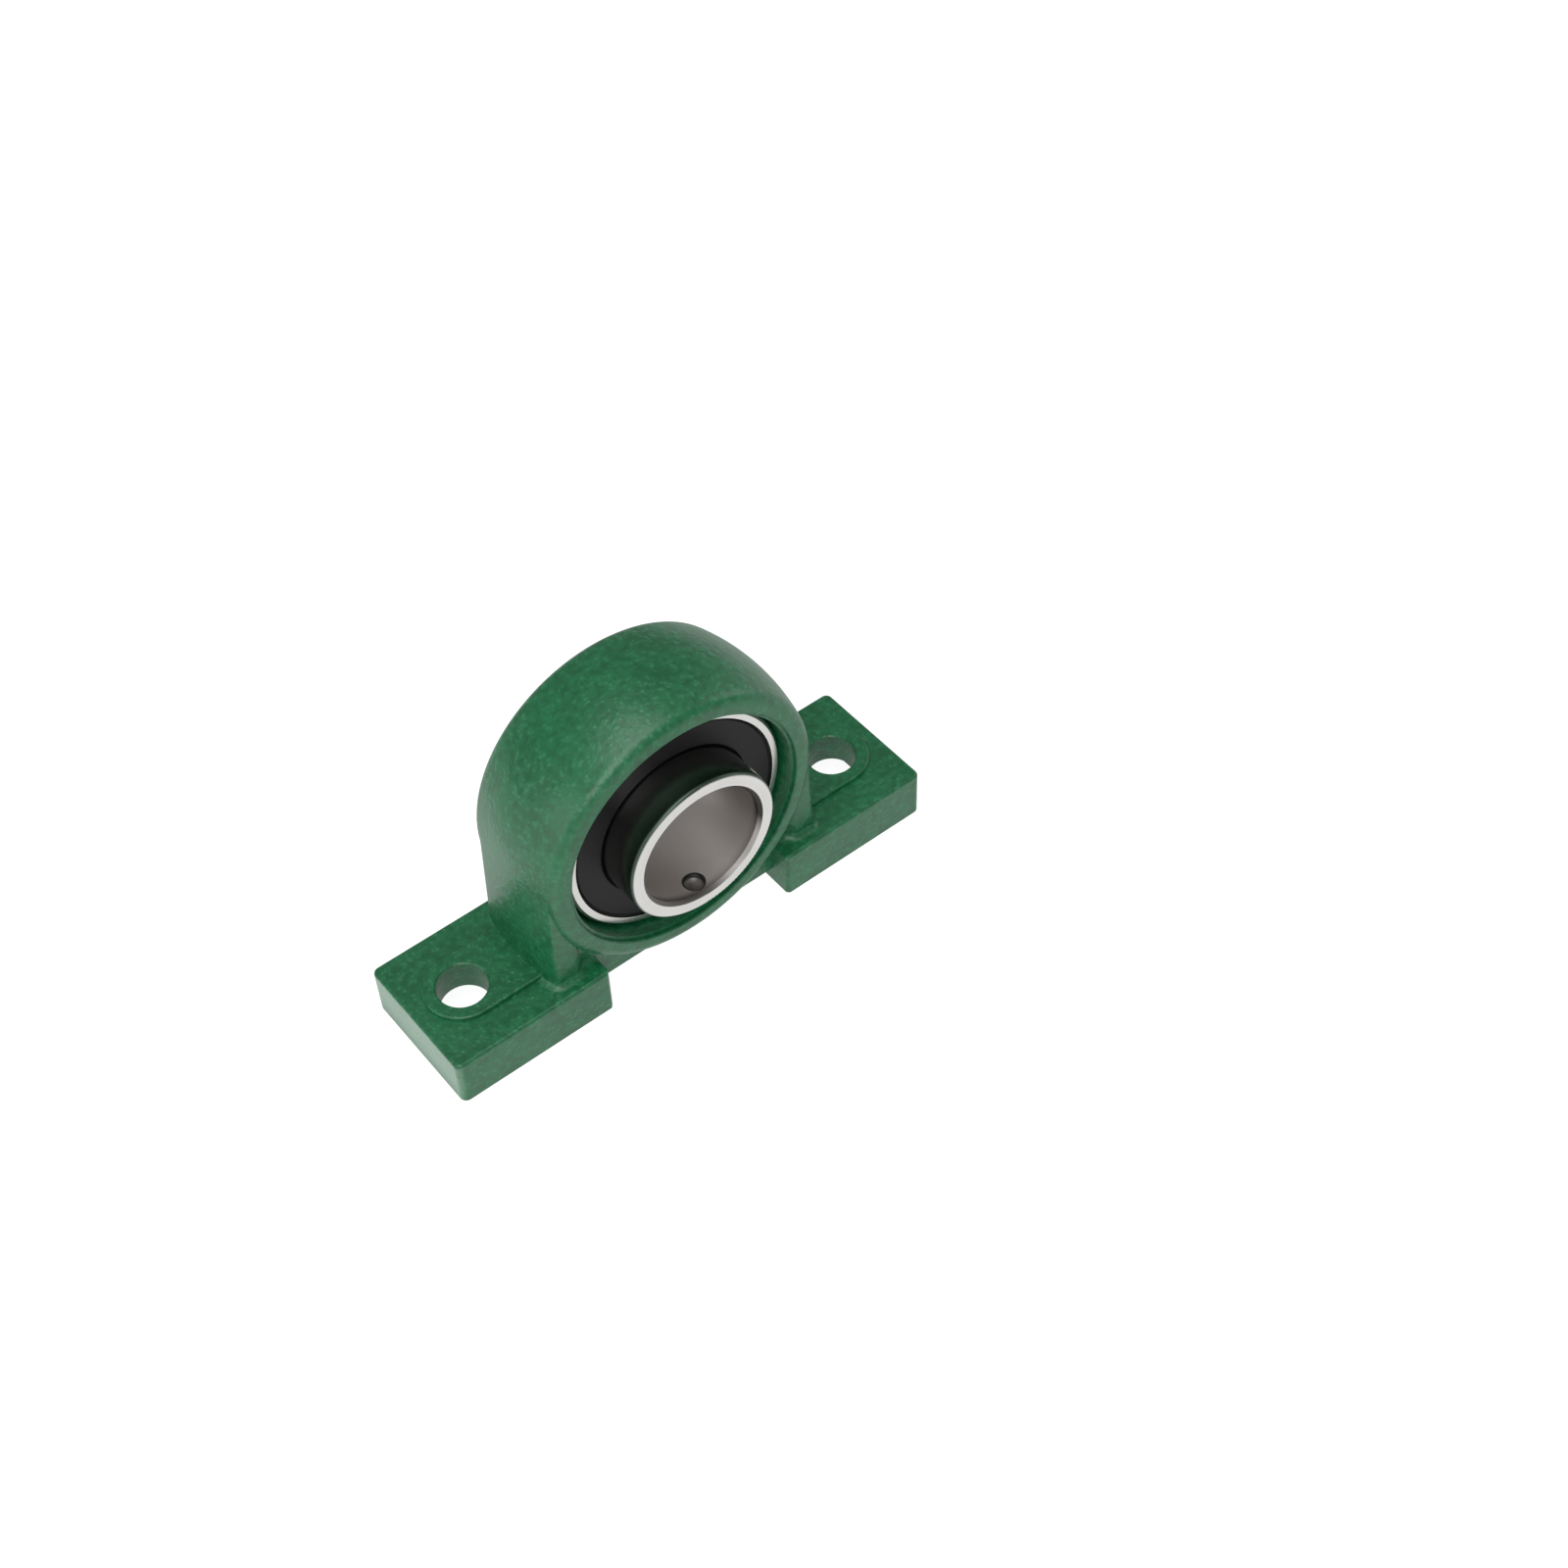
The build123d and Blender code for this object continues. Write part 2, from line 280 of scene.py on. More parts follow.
@dataclass(frozen=True)
class CastEnamel:
    """Green enamel sprayed on a sand casting, bare where the casting is machined."""

    deep: Colour = (0.0030, 0.094, 0.031)
    full: Colour = (0.0080, 0.150, 0.055)
    pale: Colour = (0.0300, 0.215, 0.096)
    iron: Colour = (0.36, 0.35, 0.33)
    dark_iron: Colour = (0.22, 0.215, 0.205)
    grain: float = 1.7 * MM
    grain_rim: Reach = (0.10, 0.62)
    grain_patches: Reach = (0.34, 0.66)
    grain_depth: float = 0.085 * MM
    pale_share: float = 0.50
    peel: float = 2.6 * MM
    peel_depth: float = 0.11 * MM
    peel_share: float = 0.6
    wave: float = 17.0 * MM
    wave_depth: float = 0.45 * MM
    wave_share: float = 0.4
    tones: Reach = (0.3, 0.7)
    gloss: float = 0.34
    gloss_change: float = 0.10
    gloss_of_iron: float = 0.42
    turning: float = 0.35 * MM
    turning_stretch: float = 0.02
    turning_share: float = 0.3
    seat_reach: Reach = (45.13 * MM, 45.17 * MM)
    sole: Reach = (0.02 * MM, 0.12 * MM)

    def material(self) -> bpy.types.Material:
        """Make the material.

        Returns:
            Enamel with sand grain, orange peel and slow waves. The iron is bare in the spherical
            seat, within its reach of the bearing's middle, and on the soles of the feet.
        """
        s = Shader("cast_enamel")
        slow = s.noise(self.wave, 3.0)
        peel = s.noise(self.peel, 2.0)
        grain = s.cells(self.grain).fade(*self.grain_rim) * peel.step(*self.grain_patches)
        tone = (slow * self.wave_share + peel * self.peel_share).step(*self.tones)
        colour = s.mix(grain * self.pale_share, s.mix(tone, self.deep, self.full), self.pale)
        up, along = s.z - SHAFT_HEIGHT, s.y - SETBACK
        reach = (s.x * s.x + along * along + up * up).root()
        bare = reach.fade(*self.seat_reach).higher(s.z.fade(*self.sole))
        across = s.vector(s.x * self.turning_stretch, s.y, s.z * self.turning_stretch)
        turning = s.noise(self.turning, 2.0, at=across)
        rough = grain * (1.0 - bare) + turning * bare * self.turning_share
        normal = s.bump(peel, self.peel_depth, s.bump(slow, self.wave_depth))
        return s.finish(
            Base_Color=s.mix(bare, colour, s.mix(turning, self.iron, self.dark_iron)),
            Metallic=bare,
            Roughness=s.blend(bare, self.gloss + peel * self.gloss_change, self.gloss_of_iron),
            Normal=s.bump(rough, self.grain_depth, normal),
            IOR=1.6,
        )


@dataclass(frozen=True)
class BearingSteel:
    """Hardened ring steel, ground or turned about the shaft's line."""

    name: str
    light: Colour = (0.78, 0.775, 0.755)
    dark: Colour = (0.69, 0.68, 0.66)
    tones: Reach = (0.3, 0.7)
    marks: float = 0.16 * MM
    mark_depth: float = 0.0018 * MM
    mark_share: float = 0.7
    smudge: float = 11.0 * MM
    smudge_share: float = 0.3
    roughness: float = 0.16
    mark_roughness: float = 0.08
    smudge_roughness: float = 0.05

    def base(self, s: Shader, radius: Value) -> tuple[bpy.types.NodeSocket, Value, Value]:
        """The plain steel.

        Args:
            s: the material in work.
            radius: the distance from the shaft's line.

        Returns:
            Its colour, its roughness and the height of its marks.
        """
        marks = s.noise(self.marks, 3.0, 0.6, s.vector(radius, s.y, 0.0))
        smudge = s.noise(self.smudge, 3.0)
        tone = (marks * self.mark_share + smudge * self.smudge_share).step(*self.tones)
        rough = self.roughness + marks * self.mark_roughness + smudge * self.smudge_roughness
        return s.mix(tone, self.dark, self.light), rough, marks

    def detail(
        self, s: Shader, radius: Value, colour: bpy.types.NodeSocket, rough: Value
    ) -> tuple[bpy.types.NodeSocket, Value]:
        """Change the plain steel where a ring is finished in another way; this one isn't."""
        return colour, rough

    def material(self) -> bpy.types.Material:
        """Make the material.

        Returns:
            Steel with fine marks that run round the shaft's line.
        """
        s = Shader(self.name)
        up = s.z - SHAFT_HEIGHT
        radius = (s.x * s.x + up * up).root()
        colour, rough, marks = self.base(s, radius)
        colour, rough = self.detail(s, radius, colour, rough)
        normal = s.bump(marks, self.mark_depth)
        return s.finish(Base_Color=colour, Metallic=1.0, Roughness=rough, Normal=normal)


@dataclass(frozen=True)
class InnerRingSteel(BearingSteel):
    """The inner ring's steel, with painted shade in its satin bore and on its land."""

    bore_colour: Colour = (0.70, 0.665, 0.64)
    # Painted shade for the bore: near the front, towards the upper right and towards the lower left.
    painted_bore_shade: Colour = (0.05, 0.046, 0.044)
    bore_edge: Reach = (BORE_RADIUS + 1.10 * MM, BORE_RADIUS + 1.25 * MM)
    bore_roughness: float = 0.2
    entry: Reach = (0.8 * MM, 4.5 * MM)
    entry_ends: Reach = (0.35, 0.85)
    entry_share: float = 0.35
    ends_share: float = 0.5
    side: Reach = (0.1, 1.0)
    side_share: float = 0.52
    # Painted shade: the land is darker than the steel, and by its front rim it takes a dark green painted
    # reflection of the housing.
    painted_land_shade: Colour = (0.34, 0.34, 0.33)
    land_edge: Reach = (LAND_RADIUS - 0.9 * MM, LAND_RADIUS - 0.3 * MM)
    painted_housing_reflection: Colour = (0.07, 0.10, 0.08)
    collar: Reach = (0.6 * MM, 7.0 * MM)
    rim: Reach = (1.0 * MM, 1.8 * MM)
    rim_roughness: float = 0.16

    def detail(
        self, s: Shader, radius: Value, colour: bpy.types.NodeSocket, rough: Value
    ) -> tuple[bpy.types.NodeSocket, Value]:
        """Finish the bore and the land, with painted shade on both.

        The bore is painted darker, as shade, at its upper right and, near the front, at its lower left
        too: across is 1 at the one and -1 at the other. The land is painted darker as shade, darkest by its
        front rim, where the dark green is a painted reflection of the housing.

        Args:
            s: the material in work.
            radius: the distance from the shaft's line.
            colour: the plain steel's colour.
            rough: the plain steel's roughness.

        Returns:
            The colour and the roughness with the bore and the land in them.
        """
        behind = (s.y - RING_FRONT).size()
        inside = radius.fade(*self.bore_edge)
        across = (s.x + (s.z - SHAFT_HEIGHT)) / (math.sqrt(2.0) * BORE_RADIUS)
        ends = across.size().step(*self.entry_ends) * self.ends_share + self.entry_share
        # Painted shade: darker near the front, at both ends of the across line, and to the upper right.
        shade = behind.fade(*self.entry) * ends + across.step(*self.side) * self.side_share
        colour = s.mix(inside, colour, s.mix(shade, self.bore_colour, self.painted_bore_shade))
        outside = radius.step(*self.land_edge)
        # The land's colour is painted shade, with a painted reflection of the housing by the front rim.
        land = s.mix(behind.step(*self.collar), self.painted_housing_reflection, self.painted_land_shade)
        rough = rough + inside * self.bore_roughness
        rough = rough + outside * behind.fade(*self.rim) * self.rim_roughness
        return s.mix(outside, colour, land), rough


@dataclass(frozen=True)
class SealRubber:
    """Moulded black rubber, matt, with faint rings left by the mould."""

    colour: Colour = (0.0105, 0.0102, 0.0107)
    bloom: Colour = (0.016, 0.0152, 0.0158)
    tones: Reach = (0.35, 0.75)
    cloud: float = 9.0 * MM
    cloud_share: float = 0.7
    grain: float = 0.45 * MM
    grain_share: float = 0.3
    grain_depth: float = 0.035 * MM
    rings: float = 0.5 * MM
    ring_depth: float = 0.02 * MM
    roughness: float = 0.42
    cloud_roughness: float = 0.12

    def material(self) -> bpy.types.Material:
        """Make the material.

        Returns:
            Rubber with a fine grain, a slight bloom and the mould's rings.
        """
        s = Shader("seal_rubber")
        up = s.z - SHAFT_HEIGHT
        radius = (s.x * s.x + up * up).root()
        grain = s.noise(self.grain, 2.0)
        cloud = s.noise(self.cloud, 3.0)
        rings = s.noise(self.rings, 1.0, at=s.vector(radius, 0.0, 0.0))
        bloom = (cloud * self.cloud_share + grain * self.grain_share).step(*self.tones)
        return s.finish(
            Base_Color=s.mix(bloom, self.colour, self.bloom),
            Roughness=self.roughness + cloud * self.cloud_roughness,
            Specular_IOR_Level=0.2,
            Normal=s.bump(grain, self.grain_depth, s.bump(rings, self.ring_depth)),
            IOR=1.5,
        )


@dataclass(frozen=True)
class PlainMetal:
    """Metal of a small piece: pressed, rolled or blackened."""

    name: str
    light: Colour
    dark: Colour
    roughness: float
    grain: float = 0.5 * MM
    depth: float = 0.006 * MM
    tone: float = 9.0
    tones: Reach = (0.3, 0.7)
    tone_roughness: float = 0.12

    def material(self) -> bpy.types.Material:
        """Make the material.

        Returns:
            Metal with a fine grain and small changes of tone and gloss.
        """
        s = Shader(self.name)
        grain = s.noise(self.grain, 3.0)
        tone = s.noise(self.grain * self.tone, 2.0)
        return s.finish(
            Base_Color=s.mix((grain * 0.5 + tone * 0.5).step(*self.tones), self.dark, self.light),
            Metallic=1.0,
            Roughness=self.roughness + tone * self.tone_roughness,
            Normal=s.bump(grain, self.depth),
        )


class Surface:
    """What every piece is made with: its skin, its shading and its finish."""

    SAME_POINT = 1e-7
    NO_LENGTH = 1e-8
    FLAT_WEIGHT = 60

    @staticmethod
    def closed_grid(name: str, points: np.ndarray, poles: bool) -> bpy.types.Object:
        """Join a grid of points to a closed skin.

        Args:
            name: the piece's name.
            points: rows along the profile, columns round the axis, three numbers each.
            poles: true if the first and the last row shrink to one point each, false if the
                last row joins the first again.

        Returns:
            The new object, its faces outwards.
        """
        rows, columns, _ = points.shape
        column = np.arange(columns)
        beside = (column + 1) % columns
        start = np.arange(rows - 1 if poles else rows)[:, None] * columns
        after = (start + columns) % (rows * columns)
        quads = np.stack([start + column, start + beside, after + beside, after + column], -1).reshape(-1, 4)
        mesh = bpy.data.meshes.new(name)
        mesh.from_pydata(points.reshape(-1, 3).tolist(), [], quads.tolist())
        shape = bmesh.new()
        shape.from_mesh(mesh)
        bmesh.ops.remove_doubles(shape, verts=shape.verts, dist=Surface.SAME_POINT)
        bmesh.ops.dissolve_degenerate(shape, edges=shape.edges, dist=Surface.NO_LENGTH)
        bmesh.ops.recalc_face_normals(shape, faces=shape.faces)
        shape.to_mesh(mesh)
        shape.free()
        Surface.smooth(mesh)
        mesh.update()
        return Surface.show(name, mesh)

    @staticmethod
    def show(name: str, mesh: bpy.types.Mesh) -> bpy.types.Object:
        """Put a mesh in the scene as one piece."""
        made = bpy.data.objects.new(name, mesh)
        bpy.context.scene.collection.objects.link(made)
        return made

    @staticmethod
    def smooth(mesh: bpy.types.Mesh) -> None:
        """Shade every face of a mesh smooth."""
        mesh.polygons.foreach_set("use_smooth", np.ones(len(mesh.polygons), bool))

    @staticmethod
    def crisp(piece: bpy.types.Object, fit: Fit) -> None:
        """Split a piece's shading at the fit's angle and let its flat faces stay flat."""
        split = piece.modifiers.new("crisp_edges", "EDGE_SPLIT")
        split.split_angle = math.radians(fit.value)
        even = piece.modifiers.new("even_faces", "WEIGHTED_NORMAL")
        even.weight = Surface.FLAT_WEIGHT
        even.keep_sharp = True

    @staticmethod
    def wear(piece: bpy.types.Object, finish: bpy.types.Material) -> None:
        """Give a piece one finish all over."""
        piece.data.materials.clear()
        piece.data.materials.append(finish)


@dataclass(frozen=True)
class CarriedNodes:
    """CAD nodes of one kind, with their shading and their finish."""

    fit: Fit
    nodes: tuple[str, ...]
    finish: bpy.types.Material

    def dress(self) -> None:
        """Weld the loose triangles by modifier, shade them and give them their finish."""
        for name in self.nodes:
            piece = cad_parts[name]
            weld = piece.modifiers.new("joined_faces", "WELD")
            weld.merge_threshold = SEW_REACH
            Surface.smooth(piece.data)
            Surface.crisp(piece, self.fit)
            Surface.wear(piece, self.finish)
            LOG.info("dressed %s", name)


@dataclass(frozen=True)
class SetScrew:
    """One hexagon socket set screw with its thread, and the thread of the hole it sits in."""

    number: int
    angle: float
    along_shaft: float = SETBACK - 25.2 * MM
    tip: float = 23.3 * MM
    length: float = 5.0 * MM
    radius: float = 3.98 * MM
    hole_radius: float = 4.03 * MM
    pitch: float = 1.0 * MM
    depth: float = 0.5 * MM
    crest: float = 0.12
    flank: float = 0.72
    cup: float = 0.62
    cup_depth: float = 0.75
    point_edge: float = 0.06 * MM
    end_gap: float = 0.02 * MM
    chamfer: float = 0.8 * MM
    top_chamfer: float = 0.35 * MM
    socket: float = 4.0 * MM
    socket_depth: float = 2.5 * MM
    socket_edge: float = 0.12 * MM
    socket_rim: float = 0.45 * MM
    socket_foot: float = 0.1 * MM
    socket_floor: tuple[Reach, ...] = ((0.96, 0.0), (0.4, 0.35 * MM), (1e-6, 0.6 * MM))
    hole_inset: float = 0.12 * MM
    hole_skin: float = 0.01 * MM
    plain_entry: float = 0.55 * MM
    plain_step: float = 0.1 * MM
    fade_rate: float = 14.0
    thread_rows: int = 92
    hole_rows: int = 80
    columns: int = 96

    def place(self) -> Matrix:
        """The frame of the hole: Z points out of the ring, the origin is on the shaft's line."""
        turn = Matrix.Rotation(math.radians(90.0 - self.angle), 4, "Y")
        return Matrix.Translation(Vector((0.0, self.along_shaft, SHAFT_HEIGHT))) @ turn

    def groove(self, theta: np.ndarray, height: np.ndarray) -> np.ndarray:
        """How deep the thread is cut, in metres.

        The turn count at a point is its height over the pitch less its angle over a full turn.
        The depth is a triangle wave of that count, clipped flat at the crest and the root.
        """
        turns = height / self.pitch - theta / (2 * math.pi)
        wave = 2.0 * np.abs(turns - np.floor(turns) - 0.5)
        return self.depth * np.clip((wave - self.crest) / self.flank, 0.0, 1.0)

    def screw(self, finish: bpy.types.Material) -> bpy.types.Object:
        """Build the screw.

        The skin runs from the middle of the cup point over the point's edge, up the thread,
        over the end face and down the socket. Each row has radii and a height; the thread
        rows take the groove off the radius, and the socket rows have the radius of a hexagon,
        the flat's distance over the cosine of the angle from the flat's middle. The socket's floor
        is the shallow cone that a drill leaves: shares of the hexagon and depths under its rim.

        Args:
            finish: the screw's material.

        Returns:
            The screw, in place.
        """
        theta = np.linspace(0.0, 2 * math.pi, self.columns, endpoint=False)
        low, high = self.tip, self.tip + self.length
        cup = self.cup * self.radius
        middle = 1e-9
        level = np.ones(self.columns)
        rows = [
            (middle * level, low + self.cup_depth * cup),
            (cup * level, low + self.end_gap),
            ((cup + self.point_edge) * level, low),
        ]
        for z in np.linspace(low + self.end_gap, high - self.end_gap, self.thread_rows):
            at_point = self.radius - self.chamfer + (z - low)
            at_top = self.radius - self.top_chamfer + (high - z)
            limit = min(at_point, self.radius, at_top)
            rows.append((np.minimum(self.radius - self.groove(theta, z), limit), z))
        flat = (theta + math.pi / 6) % (math.pi / 3) - math.pi / 6
        hexagon = self.socket / 2 / np.cos(flat)
        floor = high - self.socket_depth
        rows += [
            (hexagon + self.socket_rim, high),
            (hexagon + self.socket_edge, high),
            (hexagon, high - self.socket_edge),
            (hexagon, floor + self.socket_foot),
        ]
        rows += [(hexagon * share, floor - below) for share, below in self.socket_floor]
        grid = np.array([np.stack([radius, z * level]) for radius, z in rows])
        points = np.stack([grid[:, 0] * np.cos(theta), grid[:, 0] * np.sin(theta), grid[:, 1]], -1)
        piece = Surface.closed_grid(f"threaded_set_screw_{self.number}", points, True)
        piece.data.transform(self.place())
        Surface.crisp(piece, Fit.SCREW)
        Surface.wear(piece, finish)
        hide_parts(f"set_screw_{self.number}")
        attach(piece, "inner_race")
        return piece

    def hole_thread(self, finish: bpy.types.Material) -> bpy.types.Object:
        """Build the thread on the hole's wall.

        A row's height eases between the two ends of the hole, which lie on the bore and on the
        ring's outside: the height of a cylinder of radius R above the shaft's line at a distance
        d beside the hole's middle is the root of R squared less d squared. The thread's radius
        is the screw's plus a small gap, with a plain collar by the bore, and the skin's back lies
        in the ring's metal.

        Args:
            finish: the thread's material, painted near black as shade in the hole.

        Returns:
            The thread, in place.
        """
        theta = np.linspace(0.0, 2 * math.pi, self.columns, endpoint=False)
        share = np.linspace(0.0, 1.0, self.hole_rows)[:, None]
        beside = self.hole_radius * np.cos(theta)
        low = np.sqrt(BORE_RADIUS**2 - beside**2) + self.end_gap
        high = np.sqrt(LAND_RADIUS**2 - beside**2) - self.hole_inset
        height = low + (high - low) * share
        ends = np.minimum(np.minimum(share, 1.0 - share) * self.fade_rate, 1.0)
        gap = self.hole_radius - self.radius - self.end_gap
        inner = self.hole_radius - (gap + self.depth - self.groove(theta, height)) * ends
        inner = np.minimum(inner, self.hole_radius - self.hole_skin)
        plain = self.hole_radius - self.depth - self.plain_step
        inner = np.where(height < low + self.plain_entry, plain, inner)
        outer = np.full_like(inner, self.hole_radius + self.hole_inset)
        radius = np.concatenate([inner, outer[::-1]])
        heights = np.concatenate([height, height[::-1]])
        points = np.stack([radius * np.cos(theta), radius * np.sin(theta), heights], -1)
        piece = Surface.closed_grid(f"hole_thread_{self.number}", points, False)
        piece.data.transform(self.place())
        Surface.crisp(piece, Fit.HOLE)
        Surface.wear(piece, finish)
        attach(piece, "inner_race")
        return piece


@dataclass(frozen=True)
class SoftenedRing:
    """The inner ring with the broader chamfers and rounder edges of the real one."""

    name: str = "softened_inner_ring"
    edge: float = 0.5 * MM
    slack: float = 0.01 * MM
    chamfer: float = 1.25 * MM
    rounding: float = 1.15 * MM

    def build(self, finish: bpy.types.Material) -> bpy.types.Object:
        """Copy the CAD ring and widen its edges.

        Each edge is a corner of the ring's section, at the bore or the land and an end face.
        A point within the CAD edge's reach of a corner moves straight away from it, by the new
        reach over the old one. Such points also lie on a flat face, a cylinder or both, and
        they stay on it, so nothing else of the ring changes.

        Args:
            finish: the ring's material.

        Returns:
            The ring, in place.
        """
        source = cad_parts["inner_ring"]
        mesh = source.data.copy()
        mesh.name = self.name
        mesh.transform(source.matrix_world)
        sewn = bmesh.new()
        sewn.from_mesh(mesh)
        bmesh.ops.remove_doubles(sewn, verts=sewn.verts, dist=SEW_REACH)
        sewn.to_mesh(mesh)
        sewn.free()
        flat = np.empty(3 * len(mesh.vertices))
        mesh.vertices.foreach_get("co", flat)
        x, y, z = flat.reshape(-1, 3).T
        radius, angle = np.hypot(x, z - SHAFT_HEIGHT), np.arctan2(z - SHAFT_HEIGHT, x)
        at_front = y < (RING_FRONT + RING_REAR) / 2
        depth = np.where(at_front, y - RING_FRONT, RING_REAR - y)
        near = depth < self.edge + self.slack
        for corner, reach in ((BORE_RADIUS, self.chamfer), (LAND_RADIUS, self.rounding)):
            here = near & (np.abs(radius - corner) < self.edge + self.slack)
            radius = np.where(here, corner + (radius - corner) * reach / self.edge, radius)
            depth = np.where(here, depth * reach / self.edge, depth)
        y = np.where(at_front, RING_FRONT + depth, RING_REAR - depth)
        moved = np.stack([radius * np.cos(angle), y, SHAFT_HEIGHT + radius * np.sin(angle)], -1)
        mesh.vertices.foreach_set("co", moved.ravel())
        Surface.smooth(mesh)
        mesh.update()
        mesh.set_sharp_from_angle(angle=math.radians(Fit.TURNED.value))
        self.true_normals(mesh, radius, angle, depth, at_front)
        piece = Surface.show(self.name, mesh)
        Surface.wear(piece, finish)
        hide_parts("inner_ring")
        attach(piece, "inner_race")
        return piece

    def true_normals(
        self,
        mesh: bpy.types.Mesh,
        radius: np.ndarray,
        angle: np.ndarray,
        depth: np.ndarray,
        at_front: np.ndarray,
    ) -> None:
        """Shade the rounded outer edges as true rounds and the end faces and the land as true faces.

        A face takes the normals of the first kind that all its corners lie on. On a round, a
        corner's normal points from the middle of the round, which is as far in from the land and
        from the end face as the round is wide.

        Args:
            mesh: the ring's mesh, which keeps its other normals.
            radius: each point's distance from the shaft's line.
            angle: each point's angle about the shaft's line.
            depth: each point's distance behind the nearer end face.
            at_front: whether the nearer end face is the front one.
        """
        out = radius - (LAND_RADIUS - self.rounding)
        end = self.rounding - depth
        facing = np.where(at_front, -1.0, 1.0)
        none = np.zeros_like(facing)
        rounded = np.stack([out * np.cos(angle), end * facing, out * np.sin(angle)], -1) / self.rounding
        kinds = (
            (depth < self.slack, np.stack([none, facing, none], -1)),
            (np.abs(radius - LAND_RADIUS) < self.slack, np.stack([np.cos(angle), none, np.sin(angle)], -1)),
            ((out > -self.slack) & (end > -self.slack), rounded),
        )
        corners = np.empty(len(mesh.loops), np.int32)
        mesh.loops.foreach_get("vertex_index", corners)
        wanted = np.zeros((len(corners), 3))
        for face in mesh.polygons:
            span = slice(face.loop_start, face.loop_start + face.loop_total)
            points = corners[span]
            for lies_on, normals in kinds:
                if lies_on[points].all():
                    wanted[span] = normals[points]
                    break
        mesh.normals_split_custom_set(wanted.tolist())


@dataclass(frozen=True)
class MouldedSeal:
    """A seal with its moulded rim groove and lip, turned about the shaft's line.

    The profile gives the radius and the depth below the seal's outer face, in millimetres.
    """

    node: str
    outwards: int
    face: float = 15.9 * MM
    profile: tuple[tuple[float, float], ...] = (
        (39.14, 2.20),
        (39.14, 1.30),
        (39.05, 1.22),
        (38.60, 1.16),
        (38.36, 0.98),
        (38.20, 0.30),
        (38.10, 0.08),
        (37.94, 0.00),
        (29.25, 0.00),
        (29.02, 0.05),
        (28.86, 0.18),
        (28.74, 0.50),
        (28.62, 0.90),
        (28.48, 1.16),
        (28.34, 1.30),
        (28.27, 1.38),
        (28.27, 3.18),
        (29.34, 3.18),
        (29.34, 2.20),
    )
    columns: int = 224

    def build(self, finish: bpy.types.Material) -> bpy.types.Object:
        """Turn the profile about the shaft's line.

        Args:
            finish: the seal's material.

        Returns:
            The seal, in place.
        """
        angle = np.linspace(0.0, 2 * math.pi, self.columns, endpoint=False)
        radius, depth = (np.array(self.profile) * MM).T[:, :, None]
        y = SETBACK + self.outwards * (self.face - depth) + np.zeros_like(angle)
        points = np.stack([radius * np.cos(angle), y, SHAFT_HEIGHT + radius * np.sin(angle)], -1)
        piece = Surface.closed_grid(f"moulded_{self.node}", points, False)
        Surface.crisp(piece, Fit.MOULDED)
        Surface.wear(piece, finish)
        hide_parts(self.node)
        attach(piece, "outer_race")
        return piece


@dataclass(frozen=True)
class Softbox:
    """One square lamp that faces the part."""

    name: str
    direction: tuple[float, float, float]
    distance: float
    width: float
    power: float

    def hang(self) -> None:
        """Put the lamp in the scene."""
        data = bpy.data.lights.new(self.name, "AREA")
        data.shape = "SQUARE"
        data.size = self.width
        data.energy = self.power
        lamp = bpy.data.objects.new(self.name, data)
        towards = Vector(self.direction).normalized()
        lamp.location = towards * self.distance
        lamp.rotation_euler = towards.to_track_quat("Z", "Y").to_euler()
        bpy.context.scene.collection.objects.link(lamp)


SOFTBOXES = (
    Softbox("key_softbox", (-0.50, -0.55, 0.67), 1.8, 1.0, 11.5),
    Softbox("left_softbox", (-0.95, 0.10, 0.30), 1.8, 1.0, 4.9),
    Softbox("right_softbox", (1.00, -0.10, 0.50), 1.8, 1.0, 4.5),
    Softbox("top_softbox", (-0.14, -0.08, 1.00), 1.8, 1.25, 13.4),
)


